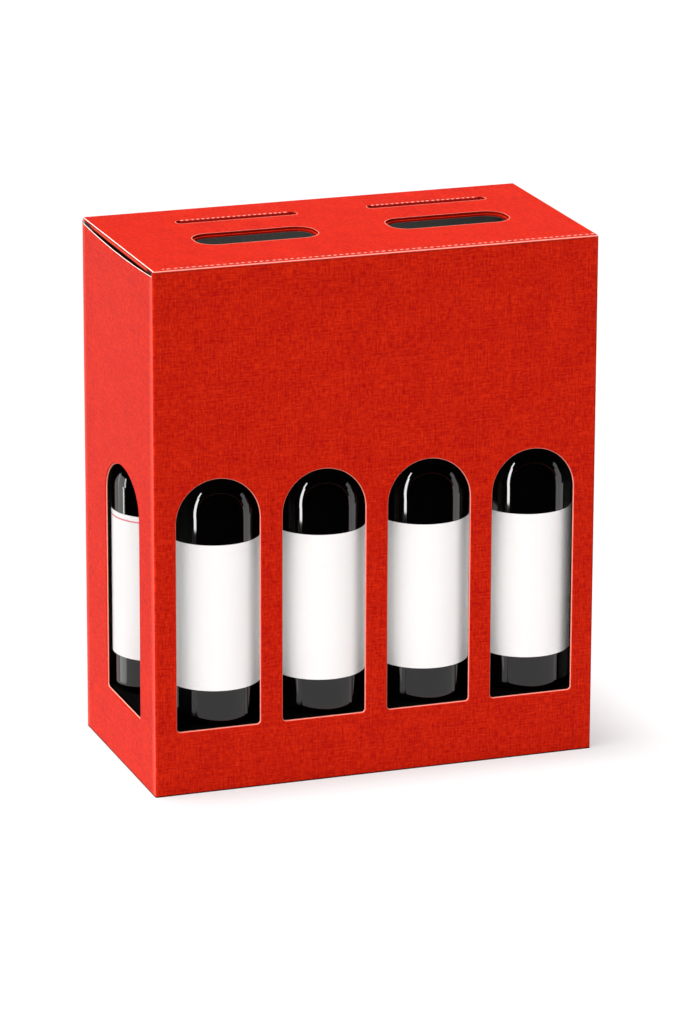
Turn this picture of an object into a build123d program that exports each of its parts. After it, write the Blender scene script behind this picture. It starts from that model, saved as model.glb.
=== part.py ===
from build123d import *
import math
import os

# Gift box of linen-embossed card with two rows of wine bottles, seen through arched windows.
# Millimetres, +Z up, front wall facing -Y, origin at the middle of the base.

# Overrun of every cut past the faces that it goes through
overrun = 5.0

# Bottle: high-shouldered glass, sealed and too dark to see into, so one solid each
bottle_diameter = 66.5
bottle_height = 270.0
heel_radius = 7.0
punt_radius = 22.0
punt_depth = 14.0
shoulder_radius = 30.0
throat_radius = 18.0
neck_length = 78.0
neck_diameter = 27.5
lip_diameter = 29.0
lip_height = 18.0

# Paper label round the bottle, its middle facing the front wall
label_thickness = 0.3
label_foot = 27.2
label_shoulder_gap = 18.2
label_wrap_degrees = 232.0
label_gap = 0.05

# Foil capsule over the mouth of the bottle
capsule_thickness = 0.4
capsule_length = 55.0
capsule_gap = 0.1

# Layout of the bottles in the box, and how far the rows have slid in it
bottles_in_row = 4
rows = 2
bottle_gap = 12.5
row_gap = 16.0
end_gap = 6.5
front_row_right = 8.0
front_row_forward = 6.5
back_row_left = 9.5
back_row_forward = 13.0

# Card: its thickness, the inside radius of every fold, the glued bottom and the glue flap
board = 1.5
inner_fold = 0.3
bottom_layers = 2
seam_width = 0.8
headroom = 68.5
glue_flap_width = 25.0
glue_flap_clearance = 10.0

# Arched windows: one for each front bottle and one in the left end wall, their outer rims crushed by the die
window_width = 62.0
window_sill = 47.0
window_spring = 200.5
window_corner = 2.5
end_window_width = 80.0
end_window_rise = 27.0
end_window_spring = 197.0
end_window_forward = 8.0
rim_bevel_width = 0.9
rim_land = 0.3

# Top closure: a lid over an inner flap that folds in from the back wall
lid_gap = 0.3
lid_side_inset = 0.6
lid_back_inset = 0.8
lid_crease_radius = 1.2
end_wall_drop = 4.8
end_wall_dip = 2.4
flap_front_gap = 12.0
ear_gap = 0.8
ear_depth = 45.0
ear_inset = 9.0
ear_tuck_degrees = 25.0

# Hand holes in the lid, and smaller ones below them in the inner flap
hand_hole_length = 91.0
hand_hole_width = 33.5
hand_hole_radius = 14.0
hand_hole_spacing = 145.0
hand_hole_setback = 76.0
hand_hole_right = 7.0
hand_hole_lap = 1.5

# Lock tabs: tongues of the lid pressed down through slots in the inner flap
lock_tab_length = 91.0
lock_tab_width = 9.0
lock_tab_radius = 4.2
lock_tab_setback = 135.0
lock_tab_right = 11.0
lock_tab_degrees = 55.0
lock_tab_slit = 0.6
lock_slot_clearance = 1.6

# Card stand that lifts the bottles to the window sills
stand_height = 43.5
insert_end_gap = 2.5

# Card insert with a hole for each neck, glued between front and back wall above the windows
tray_rise = 32.0
tray_flange = 24.0
neck_clearance = 2.0

# Sizes that follow from the ones above
bottle_radius = bottle_diameter / 2
neck_radius = neck_diameter / 2
lip_radius = lip_diameter / 2
shoulder_reach = shoulder_radius + throat_radius
shoulder_inset = bottle_radius - neck_radius - shoulder_reach
neck_start = bottle_height - neck_length
shoulder_start = neck_start - math.sqrt(shoulder_reach**2 - shoulder_inset**2)
label_height = shoulder_start - label_shoulder_gap - label_foot

cell_width = bottle_diameter + bottle_gap
cell_depth = bottle_diameter + row_gap
floor_top = bottom_layers * board
inner_width = bottles_in_row * cell_width + 2 * end_gap
inner_depth = rows * cell_depth
box_width = inner_width + 2 * board
box_depth = inner_depth + 2 * board
stand_top = floor_top + stand_height
box_height = stand_top + bottle_height + headroom

outer_fold = board + inner_fold
middle_fold = board / 2 + inner_fold
flap_top = box_height - board - lid_gap
end_wall_top = box_height - end_wall_drop
flap_front = flap_front_gap - inner_depth / 2
flap_width = inner_width - 2 * ear_gap
ear_foot = flap_top - ear_depth
ear_tuck = math.radians(ear_tuck_degrees)
ear_fold_setback = board / 2 + middle_fold * math.tan(math.pi / 4 + ear_tuck / 2)

hand_hole_y = hand_hole_setback - box_depth / 2
tab_crease_y = lock_tab_setback - box_depth / 2
tab_angle = math.radians(lock_tab_degrees)
tab_length = lock_tab_length - 2 * lock_tab_radius
tab_width = lock_tab_width - lock_tab_slit
tab_front_y = tab_crease_y - tab_width * math.cos(tab_angle) - board / 2 * math.sin(tab_angle)
tray_top = stand_top + neck_start + tray_rise


def cell_x(column):
    """Middle of a column of bottles, counted from the left."""
    return (column - (bottles_in_row - 1) / 2) * cell_width


def cell_y(row):
    """Middle of a row of bottles, counted from the front."""
    return (row - (rows - 1) / 2) * cell_depth


def bottle_spot(row, column):
    """Where a bottle stands: the middle of its cell, moved by the slide of its row."""
    if row == 0:
        return cell_x(column) + front_row_right, cell_y(row) - front_row_forward
    return cell_x(column) - back_row_left, cell_y(row) - back_row_forward


def hand_sides():
    """Middles of the left and the right hand hole, and of the lock tabs behind them."""
    return [-hand_hole_spacing / 2, hand_hole_spacing / 2]


def span_box(low, high):
    """Block between two opposite corners."""
    size = Vector(*high) - Vector(*low)
    middle = (Vector(*high) + Vector(*low)) / 2
    return Pos(*middle) * Box(*size)


def arched_window(width, spring, rise):
    """Window outline, X across and Y up: straight sides, a half-ellipse on top, soft lower corners."""
    opening = Pos(0, (window_sill + spring) / 2) * Rectangle(width, spring - window_sill)
    opening = fillet(opening.vertices().group_by(Axis.Y)[0], window_corner)
    return opening + Pos(0, spring) * Ellipse(width / 2, rise)


def folded_card(points, length, plane):
    """Bent card: the middle line of its section, folded at each inner point, drawn out both ways."""
    section = trace(FilletPolyline(*points, radius=middle_fold), line_width=board)
    return extrude(plane * section, length / 2, both=True)


def edge_waste(length, radius):
    """What a rounded edge along X loses: a square bar at the +Y +Z corner, less a rod of the radius."""
    size = radius + overrun
    bar = Pos(0, size / 2 - radius, size / 2 - radius) * Box(length, size, size)
    rod = Pos(0, -radius, -radius) * Rot(0, 90, 0) * Cylinder(radius, length + overrun)
    return bar - rod


def tongue_outline(front, back, length):
    """Plan of a lock tab or its slot: straight at the crease, round corners at the free front end."""
    outline = Pos(lock_tab_right, (front + back) / 2) * Rectangle(length, back - front)
    return fillet(outline.vertices().group_by(Axis.Y)[0], lock_tab_radius)


def through_top(outline, x):
    """Prism of a plan outline through the whole top closure, set at one hand hole's middle."""
    start = end_wall_top - ear_depth
    return Pos(x, 0, start) * extrude(outline, ear_depth + end_wall_drop + overrun)


def window_waste():
    """Everything cut out of the walls for the windows."""
    front = arched_window(window_width, window_spring, window_width / 2)
    end = arched_window(end_window_width, end_window_spring, end_window_rise)
    depth = board / 2 + overrun
    waste = []
    for column in range(bottles_in_row):
        place = Plane((cell_x(column), (board - box_depth) / 2, 0), x_dir=(1, 0, 0), z_dir=(0, -1, 0))
        waste.append(extrude(place * front, depth, both=True))
    place = Plane(((board - box_width) / 2, -end_window_forward, 0), x_dir=(0, 1, 0), z_dir=(1, 0, 0))
    waste.append(extrude(place * end, depth, both=True))
    return waste


def bevel_rims(carton):
    """Slanted outer rims of the windows: the edges of every hole in the front face and in the left end face."""
    for axis in (Axis.Y, Axis.X):
        face = carton.faces().filter_by(axis).sort_by(axis)[0]
        rims = [edge for hole in face.inner_wires() for edge in hole.edges()]
        carton = chamfer(rims, rim_bevel_width, board - rim_land, reference=face)
    return carton


def end_wall_waste():
    """Above each end wall: its free top edge lies under the lid, and dips in a shallow arc."""
    reach = inner_depth / 2
    roof = flap_top + overrun
    dip = ThreePointArc((-reach, end_wall_top), (0, end_wall_top - end_wall_dip), (reach, end_wall_top))
    rim = Polyline((reach, end_wall_top), (reach, roof), (-reach, roof), (-reach, end_wall_top))
    profile = make_face(dip.edges() + rim.edges())
    thickness = board + overrun
    waste = []
    for side in (-1, 1):
        middle = side * (inner_width + thickness) / 2
        place = Plane((middle, 0, 0), x_dir=(0, 1, 0), z_dir=(1, 0, 0))
        waste.append(extrude(place * profile, thickness / 2, both=True))
    return waste


def make_inner_flap():
    """Top flap from the back wall, with an ear folded down inside each end wall and tucked inwards."""
    half = flap_width / 2 - ear_fold_setback
    panel = span_box((-half, flap_front, flap_top - board), (half, inner_depth / 2, flap_top))
    fold_x = (flap_width - board) / 2
    fold_z = flap_top - board / 2
    ear_front = flap_front + ear_inset
    ear_back = inner_depth / 2 - ear_inset
    tip_x = fold_x - ear_depth * math.sin(ear_tuck)
    tip_z = fold_z - ear_depth * math.cos(ear_tuck)
    points = [(-tip_x, tip_z), (-fold_x, fold_z), (fold_x, fold_z), (tip_x, tip_z)]
    ears = folded_card(points, ear_back - ear_front, Plane.XZ)
    return panel + Pos(0, (ear_front + ear_back) / 2, 0) * ears


def make_flap_waste():
    """Hand holes and lock slots of the inner flap."""
    hole = Pos(hand_hole_right, hand_hole_y) * RectangleRounded(
        hand_hole_length - 2 * hand_hole_lap,
        hand_hole_width - 2 * hand_hole_lap,
        hand_hole_radius - hand_hole_lap,
    )
    slot_front = tab_front_y - lock_slot_clearance
    slot_back = tab_crease_y + lock_slot_clearance
    slot = tongue_outline(slot_front, slot_back, tab_length + 2 * lock_slot_clearance)
    return [through_top(outline, x) for x in hand_sides() for outline in (hole, slot)]


def make_carton():
    """Walls, double bottom, glue flap and inner top flap: one folded and glued sheet."""
    outside = RectangleRounded(box_width, box_depth, outer_fold)
    inside = RectangleRounded(inner_width, inner_depth, inner_fold)
    carton = extrude(outside, flap_top)
    carton -= Pos(0, 0, floor_top) * extrude(inside, flap_top)
    carton -= end_wall_waste()
    seam = seam_width / 2
    carton -= span_box((-inner_width / 2, -seam, -overrun), (inner_width / 2, seam, board))
    carton -= span_box((-seam, -inner_depth / 2, board), (seam, inner_depth / 2, floor_top + overrun))
    glue_foot = (inner_width / 2 - board, inner_depth / 2 - glue_flap_width, floor_top)
    glue_head = (inner_width / 2, inner_depth / 2, ear_foot - glue_flap_clearance)
    carton += span_box(glue_foot, glue_head)
    carton = bevel_rims(carton - window_waste())
    flap = make_inner_flap()
    flap -= make_flap_waste()
    carton += flap
    carton -= Pos(0, box_depth / 2, flap_top) * edge_waste(box_width + overrun, outer_fold)
    return carton


def make_lid():
    """Outer top panel: hand holes, slots, and the lock tabs folded down out of the slots."""
    half = box_width / 2 - lid_side_inset
    front = -box_depth / 2
    lid = span_box(
        (-half, front, box_height - board),
        (half, box_depth / 2 - lid_back_inset, box_height),
    )
    crease = Pos(0, front, box_height) * Rot(0, 0, 180)
    lid -= crease * edge_waste(box_width + overrun, lid_crease_radius)
    hole = RectangleRounded(hand_hole_length, hand_hole_width, hand_hole_radius)
    hole = Pos(hand_hole_right, hand_hole_y) * hole
    slot = RectangleRounded(lock_tab_length, lock_tab_width, lock_tab_radius)
    slot = Pos(lock_tab_right, tab_crease_y - lock_tab_width / 2) * slot
    lid -= [through_top(outline, x) for x in hand_sides() for outline in (hole, slot)]
    middle_z = box_height - board / 2
    tip = (tab_crease_y - tab_width * math.cos(tab_angle), middle_z - tab_width * math.sin(tab_angle))
    root = (tab_crease_y + board, middle_z)
    tab = folded_card([root, (tab_crease_y, middle_z), tip], tab_length, Plane.YZ)
    tab = Pos(lock_tab_right, 0, 0) * tab
    shape = tongue_outline(tab_front_y, tab_crease_y + board, tab_length)
    for x in hand_sides():
        lid += Pos(x, 0, 0) * tab & through_top(shape, x)
    return lid


def make_bridge(top, foot):
    """Card bridge across the box, its two flanges folded down along the front and the back wall."""
    fold_y = (inner_depth - board) / 2
    fold_z = top - board / 2
    points = [(-fold_y, foot), (-fold_y, fold_z), (fold_y, fold_z), (fold_y, foot)]
    return folded_card(points, inner_width - 2 * insert_end_gap, Plane.YZ)


def make_neck_tray():
    """Card bridge with a hole for each neck."""
    tray = make_bridge(tray_top, tray_top - tray_flange)
    hole_radius = lip_radius + capsule_gap + capsule_thickness + neck_clearance
    for row in range(rows):
        for column in range(bottles_in_row):
            x, y = bottle_spot(row, column)
            tray -= Pos(x, y, tray_top) * Cylinder(hole_radius, tray_flange)
    return tray


def make_bottle():
    """Turned form of the bottle: punt, heel, straight side, round shoulder, hollow throat, neck and lip."""
    low = Vector(bottle_radius - shoulder_radius, shoulder_start)
    high = Vector(neck_radius + throat_radius, neck_start)
    meet = low + (high - low).normalized() * shoulder_radius
    ledge = bottle_height - lip_height
    punt = TangentArc((0, punt_depth), (punt_radius, 0), tangent=(1, 0))
    base = Line(punt @ 1, (bottle_radius - heel_radius, 0))
    heel = TangentArc(base @ 1, (bottle_radius, heel_radius), tangent=base % 1)
    side = Line(heel @ 1, (bottle_radius, shoulder_start))
    shoulder = TangentArc(side @ 1, meet, tangent=side % 1)
    throat = TangentArc(shoulder @ 1, (neck_radius, neck_start), tangent=shoulder % 1)
    neck = Polyline(
        throat @ 1,
        (neck_radius, ledge),
        (lip_radius, ledge),
        (lip_radius, bottle_height),
        (0, bottle_height),
        (0, punt_depth),
    )
    outline = make_face([punt, base, heel, side, shoulder, throat] + neck.edges())
    return revolve(Plane.XZ * outline, Axis.Z)


def make_label():
    """Paper band round the straight side of the bottle."""
    radius = bottle_radius + label_gap + label_thickness / 2
    start = -90 - label_wrap_degrees / 2
    band = trace(CenterArc((0, 0), radius, start, label_wrap_degrees), line_width=label_thickness)
    return Pos(0, 0, label_foot) * extrude(band, label_height)


def make_capsule():
    """Foil sleeve shrunk over neck and lip, closed on top."""
    foot = bottle_height - capsule_length
    ledge = bottle_height - lip_height - capsule_gap
    top = bottle_height + capsule_gap
    slim = neck_radius + capsule_gap
    wide = lip_radius + capsule_gap
    wall = capsule_thickness
    section = Polyline(
        (slim, foot),
        (slim + wall, foot),
        (slim + wall, ledge - wall),
        (wide + wall, ledge - wall),
        (wide + wall, top + wall),
        (0, top + wall),
        (0, top),
        (wide, top),
        (wide, ledge),
        (slim, ledge),
        close=True,
    )
    return revolve(Plane.XZ * make_face(section), Axis.Z)


def row_name(row):
    """Word for a row of bottles, from the front wall to the back wall."""
    if row == 0:
        return "front"
    if row == rows - 1:
        return "back"
    return f"middle_{row}"


def main():
    nodes = {"carton_body": make_carton(), "lid": make_lid()}
    nodes["bottle_stand"] = make_bridge(stand_top, floor_top)
    nodes["neck_tray"] = make_neck_tray()
    goods = {"bottle": make_bottle(), "label": make_label(), "capsule": make_capsule()}
    for row in range(rows):
        for column in range(bottles_in_row):
            place = Pos(*bottle_spot(row, column), stand_top)
            for kind, shape in goods.items():
                nodes[f"{kind}_{row_name(row)}_{column + 1}"] = place * shape
    os.makedirs("parts", exist_ok=True)
    for name, shape in nodes.items():
        export_step(shape, f"parts/{name}.step")
    print(f"{len(nodes)} nodes, box {box_width:g} x {box_depth:g} x {box_height:g} mm")


main()
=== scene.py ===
# %% [markdown]
# # A red linen-card gift box with arched windows
# The carton, its lid and its inner cards come from the CAD frame with their true shape and size. This lesson
# gives them their printed and embossed surface, draws the torn dashes of the perforated folds into the lid's
# print, makes smooth glass, paper and foil for the bottles inside, and sets up a plain white studio.

# %% Load the frame
import math

import bmesh
import bpy
import numpy as np
from mathutils import Matrix, Vector


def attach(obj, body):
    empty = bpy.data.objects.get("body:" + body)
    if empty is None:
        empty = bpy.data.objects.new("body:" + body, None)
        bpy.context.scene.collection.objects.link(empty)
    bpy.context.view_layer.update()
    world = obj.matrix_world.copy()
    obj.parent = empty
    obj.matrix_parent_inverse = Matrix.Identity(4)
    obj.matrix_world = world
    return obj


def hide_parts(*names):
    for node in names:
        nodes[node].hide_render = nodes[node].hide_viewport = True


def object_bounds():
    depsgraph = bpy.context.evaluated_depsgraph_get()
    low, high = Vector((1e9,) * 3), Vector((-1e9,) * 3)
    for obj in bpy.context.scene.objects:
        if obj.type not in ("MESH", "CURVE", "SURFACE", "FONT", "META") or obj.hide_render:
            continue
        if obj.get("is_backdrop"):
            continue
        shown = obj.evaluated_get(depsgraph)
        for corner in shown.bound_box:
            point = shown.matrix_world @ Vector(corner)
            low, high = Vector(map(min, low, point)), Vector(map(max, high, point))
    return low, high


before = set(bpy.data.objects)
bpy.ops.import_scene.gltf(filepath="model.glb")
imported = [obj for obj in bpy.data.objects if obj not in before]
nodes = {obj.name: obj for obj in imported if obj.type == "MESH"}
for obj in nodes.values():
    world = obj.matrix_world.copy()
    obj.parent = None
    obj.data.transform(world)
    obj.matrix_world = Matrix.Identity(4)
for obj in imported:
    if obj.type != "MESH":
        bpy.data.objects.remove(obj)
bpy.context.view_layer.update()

# %% [markdown]
# ## Helpers
# Colours are easiest to read as the hex values of a paint chart, but a renderer adds and multiplies light, so
# one function turns them into linear light. Shader trees are built from one other function, which adds a node,
# sets its properties and fills its inputs. Two small ones start a material and put it on a CAD node, whose mesh
# stays as it is. Lengths are written in millimetres and turned to metres once.

# %% Helpers for colours and nodes
MM = 0.001


def linear(code):
    """Linear colour of an sRGB hex code: each channel c becomes ((c + 0.055) / 1.055) to the power 2.4, or, where
    it is nearly black, c / 12.92."""
    channels = np.array([int(code[i:i + 2], 16) for i in (1, 3, 5)]) / 255
    light = np.where(channels <= 0.04045, channels / 12.92, ((channels + 0.055) / 1.055) ** 2.4)
    return (*light.tolist(), 1.0)


def add(tree, kind, feeds=None, **settings):
    """One node with its settings; feeds gives each input a value, a node (its first output) or a socket."""
    node = tree.nodes.new(kind)
    for name, value in settings.items():
        setattr(node, name, value)
    for key, value in (feeds or {}).items():
        if isinstance(value, bpy.types.Node):
            tree.links.new(value.outputs[0], node.inputs[key])
        elif isinstance(value, bpy.types.NodeSocket):
            tree.links.new(value, node.inputs[key])
        else:
            node.inputs[key].default_value = value
    return node


def new_material(name):
    """Empty material, its node tree and its output node."""
    material = bpy.data.materials.new(name)
    material.use_nodes = True
    material.node_tree.nodes.clear()
    return material, material.node_tree, add(material.node_tree, "ShaderNodeOutputMaterial")


def dress(name, material):
    """The CAD node of that name in this material alone."""
    nodes[name].data.materials.clear()
    nodes[name].data.materials.append(material)


print("helpers ready")

# %% [markdown]
# ## Linen-embossed card
# The box is folded from board with a red printed face, pressed with a linen roller: short threads run both ways.
# An image could carry that, but stretched noises do it without one: each is squeezed across its threads. Short and
# long threads run up, others run along, and a grain lies over them all. A real thread is about half as wide as the
# pitch below; it is drawn as coarse as it needs to show.

# %% The linen pattern
RED_DARK, RED_LIGHT = "#A40400", "#D02605"
# Sizes in millimetres, and how much each noise counts.
THREAD_PITCH, THREAD_LENGTH = 1.25, 5.5
LONG_THREAD, GRAIN, CLOUD = 45.0, 0.9, 22.0
SHORT_WEIGHT, LONG_WEIGHT, GRAIN_WEIGHT, CLOUD_WEIGHT = 1.0, 0.45, 0.6, 0.35
# The sum at which a thread is fully light or dark, and the upright share of the normal that makes a face level.
TONE_REACH, LEVEL_FACE = 0.36, 0.7


def linen(tree):
    """Coordinates in mm, the object's own normal, the thread tone from 0 to 1, the red face colour, and the place on
    the sheet. That place runs round and up the walls, or along and across a level face. The tone is the weighted
    sum of the noises, each less its middle."""
    place = add(tree, "ShaderNodeTexCoord")
    mm = add(tree, "ShaderNodeVectorMath", {0: place.outputs["Object"], "Scale": 1 / MM}, operation="SCALE")
    x, y, z = add(tree, "ShaderNodeSeparateXYZ", {0: mm}).outputs
    facing = add(tree, "ShaderNodeSeparateXYZ", {0: place.outputs["Normal"]}).outputs
    tilt = add(tree, "ShaderNodeMath", {0: facing[2]}, operation="ABSOLUTE")
    level = add(tree, "ShaderNodeMath", {0: tilt, 1: LEVEL_FACE}, operation="GREATER_THAN")
    round_wall = add(tree, "ShaderNodeMath", {0: x, 1: y}, operation="ADD")
    across = add(tree, "ShaderNodeMix", {0: level, 2: round_wall, 3: x})
    along = add(tree, "ShaderNodeMix", {0: level, 2: z, 3: y})
    sheet = add(tree, "ShaderNodeCombineXYZ", {0: across, 1: along})
    fine, short, far, dot = 1 / THREAD_PITCH, 1 / THREAD_LENGTH, 1 / LONG_THREAD, 1 / GRAIN
    threads = 0.0
    for stretch, weight in (
        ((fine, short, 1), SHORT_WEIGHT),
        ((short, fine, 1), SHORT_WEIGHT),
        ((fine, far, 1), LONG_WEIGHT),
        ((far, fine, 1), LONG_WEIGHT),
        ((dot, dot, 1), GRAIN_WEIGHT),
    ):
        spot = add(tree, "ShaderNodeVectorMath", {0: sheet, 1: stretch}, operation="MULTIPLY")
        thread = add(tree, "ShaderNodeTexNoise", {"Vector": spot, "Scale": 1.0, "Detail": 1.5, "Roughness": 0.6})
        middle = add(tree, "ShaderNodeMath", {0: thread, 1: 0.5}, operation="SUBTRACT")
        threads = add(tree, "ShaderNodeMath", {0: middle, 1: weight, 2: threads}, operation="MULTIPLY_ADD")
    cloud = add(tree, "ShaderNodeTexNoise", {"Vector": sheet, "Scale": 1 / CLOUD, "Detail": 2.0})
    drift = add(tree, "ShaderNodeMath", {0: cloud, 1: 0.5}, operation="SUBTRACT")
    mixed = add(tree, "ShaderNodeMath", {0: drift, 1: CLOUD_WEIGHT, 2: threads}, operation="MULTIPLY_ADD")
    tone = add(tree, "ShaderNodeMapRange", {0: mixed, 1: -TONE_REACH, 2: TONE_REACH, 3: 0.0, 4: 1.0})
    red = add(tree, "ShaderNodeMix", {0: tone, 6: linear(RED_DARK), 7: linear(RED_LIGHT)}, data_type="RGBA")
    return (x, y, z), facing, tone, red.outputs[2], sheet


print("linen threads", THREAD_PITCH, "mm apart and", THREAD_LENGTH, "to", LONG_THREAD, "mm long")

# %% [markdown]
# ### Where the carton is printed and cut
# The sheet has three kinds of surface: the red face outside, the crushed fibre of every cut edge, and the grey board
# inside. Every test compares a distance with a face's own place, so the red stops exactly at the fold or the cut.
# Printed are the outer faces of the walls and the bottom, the bent card of the folds, the top of the inner flap, and
# the outer faces of its two ears. A cut lies within the board's thickness, in a wall or in the flap.

# %% Masks of the carton
# Millimetres, but for EAR_OUTWARD, the outward share of the normal. A skin or a half is how far a point may lie from
# its plane, and a hair is a margin for rounding.
WIDTH, DEPTH, HEIGHT = 332.0, 168.0, 385.0
BOARD, FOLD = 1.5, 1.4
FLAP_TOP, FLAP_CLEAR = 383.2, 0.4
EAR_FOOT, EAR_REACH, EAR_OUTWARD = 336.0, 138.0, 0.2
END_SKIN, WALL_SKIN, CUT_HALF, HAIR = 0.7, 0.55, 0.7, 0.1

card, tree, output = new_material("linen_embossed_card")
(x, y, z), facing, tone, red, sheet = linen(tree)
side = add(tree, "ShaderNodeMath", {0: x}, operation="ABSOLUTE")
deep = add(tree, "ShaderNodeMath", {0: y}, operation="ABSOLUTE")
hand = add(tree, "ShaderNodeMath", {0: x}, operation="SIGN")
outward = add(tree, "ShaderNodeMath", {0: hand, 1: facing[0]}, operation="MULTIPLY")
tests = [
    add(tree, "ShaderNodeMath", {0: side, 1: WIDTH / 2, 2: END_SKIN}, operation="COMPARE"),
    add(tree, "ShaderNodeMath", {0: deep, 1: DEPTH / 2, 2: WALL_SKIN}, operation="COMPARE"),
    add(tree, "ShaderNodeMath", {0: z, 1: HAIR}, operation="LESS_THAN"),
]
for name, *limits in (
    ("upright folds", (side, WIDTH / 2 - FOLD), (deep, DEPTH / 2 - FOLD)),
    ("back fold", (y, DEPTH / 2 - FOLD), (z, FLAP_TOP - FOLD)),
    ("flap", (y, BOARD - DEPTH / 2 + HAIR), (z, FLAP_TOP - HAIR)),
    ("ears", (side, EAR_REACH), (z, EAR_FOOT), (outward, EAR_OUTWARD)),
):
    met = 1.0
    for value, limit in limits:
        past = add(tree, "ShaderNodeMath", {0: value, 1: limit}, operation="GREATER_THAN")
        met = add(tree, "ShaderNodeMath", {0: past, 1: met}, operation="MINIMUM", label=name)
    tests.append(met)
inside_ends = add(tree, "ShaderNodeMath", {0: side, 1: WIDTH / 2 - BOARD - HAIR}, operation="LESS_THAN")
on_ear = add(tree, "ShaderNodeMath", {0: tests.pop(), 1: inside_ends}, operation="MINIMUM")
printed, *others = [*tests, on_ear]
for test in others:
    printed = add(tree, "ShaderNodeMath", {0: printed, 1: test}, operation="MAXIMUM")

in_end = add(tree, "ShaderNodeMath", {0: side, 1: (WIDTH - BOARD) / 2, 2: CUT_HALF}, operation="COMPARE")
in_wall = add(tree, "ShaderNodeMath", {0: deep, 1: (DEPTH - BOARD) / 2, 2: CUT_HALF}, operation="COMPARE")
cut = add(tree, "ShaderNodeMath", {0: in_end, 1: in_wall}, operation="MAXIMUM")
in_flap = add(tree, "ShaderNodeMath", {0: z, 1: FLAP_TOP - BOARD / 2, 2: CUT_HALF}, operation="COMPARE")
inboard = add(tree, "ShaderNodeMath", {0: deep, 1: DEPTH / 2 - BOARD - FLAP_CLEAR}, operation="LESS_THAN")
flap_cut = add(tree, "ShaderNodeMath", {0: in_flap, 1: inboard}, operation="MINIMUM")
print("carton masks:", 1 + len(others), "printed places")

# %% [markdown]
# ### The carton's colours
# Window rims show fibre with the red of the print dragged into it, and the top edge cleaner paper. The flap's cut
# edges, under the lid, are painted a dark red as painted shade. The end faces grow paler towards their upright
# folds. A thin dark line is painted round the foot, painted shade where the box meets the ground. The ears carry a
# lighter red band under the lid, a painted highlight where the lid's shadow falls, and are painted nearly black
# below it, painted shade for the gap behind the end wall. Print is satin and raw board is dull, and the threads are
# pressed in.

# %% Card of the carton
# The first colour below is painted shade: the dark red of cut edges in holes and slots and of the tabs pressed into
# them.
SHADE_PAINTED_RED, GREY_BOARD = "#7A0903", ("#5E605D", "#7E807C")
WINDOW_FIBRE, TOP_FIBRE = ("#DC7060", "#EC9A8A"), ("#F0D2C4", "#F8EDE6")
PALE_FOLD_RED, EAR_PAINTED_LIGHT, TUCK_SHADE_PAINTED, FOOT_SHADE_PAINTED = "#FF8A78", "#FF5A40", "#1C0504", "#3A0A06"
FIBRE, TOP_EDGE, EAR_BAND, FOOT_SHADE_HEIGHT = 2.5, 12.0, 4.6, 0.9
PALE_FROM, PALE_TO, PALE_SHARE, END_FACE = 9.0, 1.0, 0.22, 0.3
RAW_ROUGHNESS, PRINT_ROUGHNESS, THREAD_RELIEF = 0.9, 0.5, 0.08


def finish_card(name, material, tree, output, base, print_mask, relief):
    """Card of a colour on a CAD node: satin where it is printed, dull where it is raw, with the relief pressed in."""
    dull = add(tree, "ShaderNodeMapRange", {0: print_mask, 3: RAW_ROUGHNESS, 4: PRINT_ROUGHNESS})
    bump = add(tree, "ShaderNodeBump", {"Height": relief, "Strength": 0.35, "Distance": THREAD_RELIEF * MM})
    shine = add(tree, "ShaderNodeBsdfPrincipled", {
        "Base Color": base, "Roughness": dull, "Normal": bump, "IOR": 1.5, "Specular IOR Level": 0.05,
    })
    tree.links.new(shine.outputs[0], output.inputs[0])
    dress(name, material)
    print(name, "in", material.name, "with", len(tree.nodes), "shader nodes")


fibre = add(tree, "ShaderNodeTexNoise", {"Vector": sheet, "Scale": 1 / FIBRE, "Detail": 3.0})
inner, rim, clean = [
    add(tree, "ShaderNodeMix", {0: fibre, 6: linear(dark), 7: linear(light)}, data_type="RGBA").outputs[2]
    for dark, light in (GREY_BOARD, WINDOW_FIBRE, TOP_FIBRE)
]
top_edge = add(tree, "ShaderNodeMath", {0: z, 1: HEIGHT - TOP_EDGE}, operation="GREATER_THAN")
paper = add(tree, "ShaderNodeMix", {0: top_edge, 6: rim, 7: clean}, data_type="RGBA").outputs[2]
# Towards their upright folds the end faces are mixed to a paler red.
end_face = add(tree, "ShaderNodeMath", {0: side, 1: WIDTH / 2, 2: END_FACE}, operation="COMPARE")
stretch = add(tree, "ShaderNodeMapRange", {
    0: deep, 1: DEPTH / 2 - PALE_FROM, 2: DEPTH / 2 - PALE_TO, 3: 0.0, 4: PALE_SHARE,
})
paler_near_folds = add(tree, "ShaderNodeMath", {0: stretch, 1: end_face}, operation="MULTIPLY")
# Painted shade: below the lit band the ears are painted nearly black, for the shadow in the gap behind the end wall.
below = add(tree, "ShaderNodeMath", {0: z, 1: FLAP_TOP - EAR_BAND}, operation="LESS_THAN")
painted_tuck_shade = add(tree, "ShaderNodeMath", {0: on_ear, 1: below}, operation="MINIMUM")
# Painted shade: a thin dark line round the foot, where the box meets the ground.
foot = add(tree, "ShaderNodeMath", {0: z, 1: FOOT_SHADE_HEIGHT}, operation="LESS_THAN")
# On the ears the red is painted lighter, a painted highlight under the lid where the lid's shadow falls.
face = red
for mask, colour in ((paler_near_folds, PALE_FOLD_RED), (on_ear, EAR_PAINTED_LIGHT), (painted_tuck_shade, TUCK_SHADE_PAINTED), (foot, FOOT_SHADE_PAINTED)):
    face = add(tree, "ShaderNodeMix", {0: mask, 6: face, 7: linear(colour)}, data_type="RGBA").outputs[2]
base = inner
for mask, colour in ((cut, paper), (flap_cut, linear(SHADE_PAINTED_RED)), (printed, face)):
    base = add(tree, "ShaderNodeMix", {0: mask, 6: base, 7: colour}, data_type="RGBA").outputs[2]
finish_card("carton_body", card, tree, output, base, printed, tone)

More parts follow.
